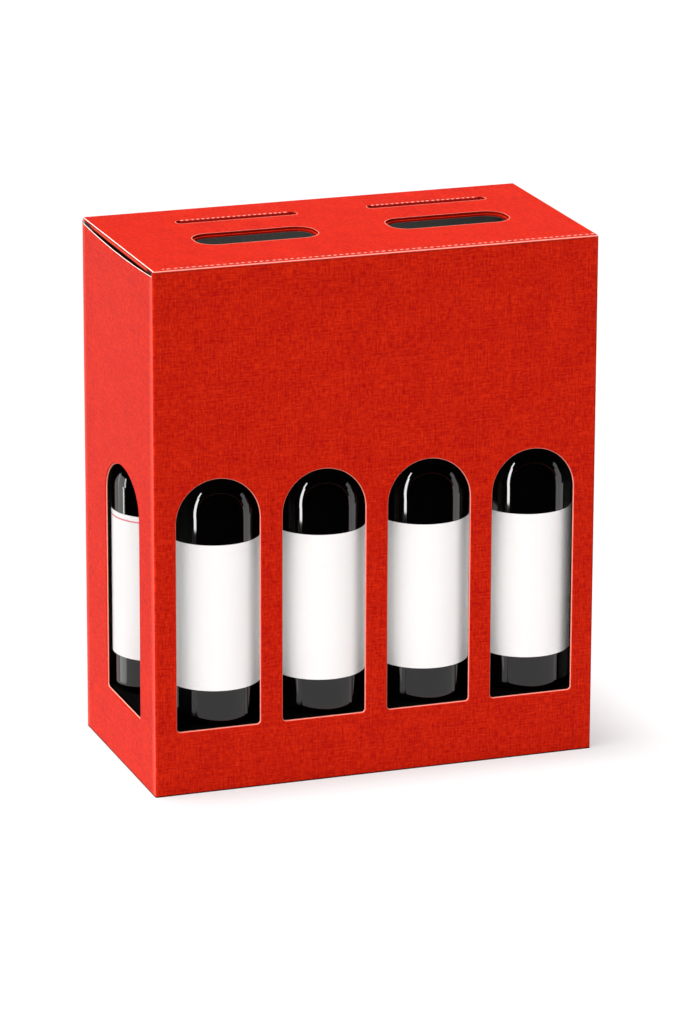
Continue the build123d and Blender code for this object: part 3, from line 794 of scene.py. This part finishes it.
# %% Strips for the glass
STRIP_FAR, POWER_PER_RADIANCE = 0.8, 4
strips = {
    # name, first and last bearing in degrees, low and high end in metres, radiance
    "front": [
        ("right_foot", 60.3, 86.0, -0.120, 0.020, 1.17),
        ("right_middle", 58.5, 78.5, 0.020, 0.300, 1.17),
        ("right_upper", 63.0, 77.0, 0.300, 0.500, 1.17),
        ("right_tip", 68.0, 79.0, 0.500, 0.680, 1.17),
        ("left_strip", -65.8, -59.6, -0.036, 0.800, 16.0),
        ("left_tip", -67.0, -62.5, 0.800, 1.250, 16.0),
        ("left_line", -69.5, -67.5, -0.100, -0.036, 0.4),
        ("foot_left", -74.5, -60.0, -0.256, -0.205, 0.92),
        ("foot_right", 63.5, 72.5, -0.254, -0.205, 0.88),
    ],
    "back": [
        ("end_strip", -131.0, -105.5, -0.250, 0.300, 1.5),
        ("end_line", -112.0, -108.0, -0.065, 0.040, 8.0),
        ("end_tip", -105.5, -101.0, 0.040, 0.300, 8.0),
    ],
}
SEEN_COLUMNS = {"front": COLUMNS, "back": 1}
for row, count in SEEN_COLUMNS.items():
    for column in range(count):
        own = gather(f"own_{row}_{column + 1}", [bottles[f"bottle_{row}_{column + 1}"]])
        x, y, _ = stands_at(row, column)
        for name, first, last, low, high, radiance in strips[row]:
            bearing = math.radians((first + last) / 2)
            out = np.array([math.sin(bearing), -math.cos(bearing), 0])
            wide, tall = 2 * STRIP_FAR * math.tan(math.radians(last - first) / 2), high - low
            lamp = place_lamp(
                f"{name}_{column + 1}", "AREA", np.array([x * MM, y * MM, (low + high) / 2]) + STRIP_FAR * out, -out,
                own, box_lets_by, shape="RECTANGLE", size=wide, size_y=tall,
                energy=POWER_PER_RADIANCE * radiance * wide * tall,
            )
            lamp.visible_camera = False
    print(row, "row lit by", [entry[0] for entry in strips[row]])

# %% [markdown]
# Through the hand holes the grey inside of the back wall shows. Little light gets there, so a small lamp in the box's
# head room lifts it, for the carton alone.

# %% Lamp in the head room
ROOM_PLACE, ROOM_TOWARDS, ROOM_POWER = (0, -0.07, 0.345), (0, 1, 0.05), 0.077
ROOM_WIDE, ROOM_TALL = 0.28, 0.03
carton_only = gather("carton_only", [nodes["carton_body"]])
room = place_lamp(
    "head_room_light", "AREA", ROOM_PLACE, ROOM_TOWARDS, carton_only,
    shape="RECTANGLE", size=ROOM_WIDE, size_y=ROOM_TALL, energy=ROOM_POWER,
)
room.visible_camera = False
print("head room lamp of", ROOM_POWER, "W")

# %% [markdown]
# ## Camera
# A long lens from far away keeps the box's edges nearly parallel, as in the photograph. The camera's three axes are
# worked out from its bearing, height angle and a slight roll. Lengths are in millimetres, as is the lens.

# %% Camera
BEARING, RISE, ROLL = math.radians(-19.410), math.radians(16.848), math.radians(0.186)
FAR, ASIDE, BELOW, LENS, SENSOR = 3897.5, -2.06, 19.75, 189.47, 36.0
CLIP_NEAR, CLIP_FAR = 100.0, 100000.0
back = np.array([math.sin(BEARING) * math.cos(RISE), -math.cos(BEARING) * math.cos(RISE), math.sin(RISE)])
right = np.cross([0, 0, 1], back)
right /= np.linalg.norm(right)
up = np.cross(back, right)
turned_right = math.cos(ROLL) * right + math.sin(ROLL) * up
turned_up = -math.sin(ROLL) * right + math.cos(ROLL) * up
eye = np.array([0, 0, HEIGHT / 2]) - ASIDE * turned_right - BELOW * turned_up + FAR * back
pose = np.eye(4)
pose[:3, 0], pose[:3, 1], pose[:3, 2], pose[:3, 3] = turned_right, turned_up, back, eye * MM
lens = bpy.data.cameras.new("camera")
lens.lens, lens.sensor_width = LENS, SENSOR
lens.clip_start, lens.clip_end = CLIP_NEAR * MM, CLIP_FAR * MM
camera = bpy.data.objects.new("camera", lens)
camera.matrix_world = Matrix(pose.tolist())
bpy.context.scene.collection.objects.link(camera)
bpy.context.scene.camera = camera
bpy.context.scene.view_settings.view_transform = "Standard"
print("camera at", [round(v, 3) for v in camera.location])

# %% [markdown]
# ## Sizes
# The size of the dressed box is printed.

# %% Sizes
low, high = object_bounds()
print("dressed box", [round(1000 * (b - a), 1) for a, b in zip(low, high)], "mm")
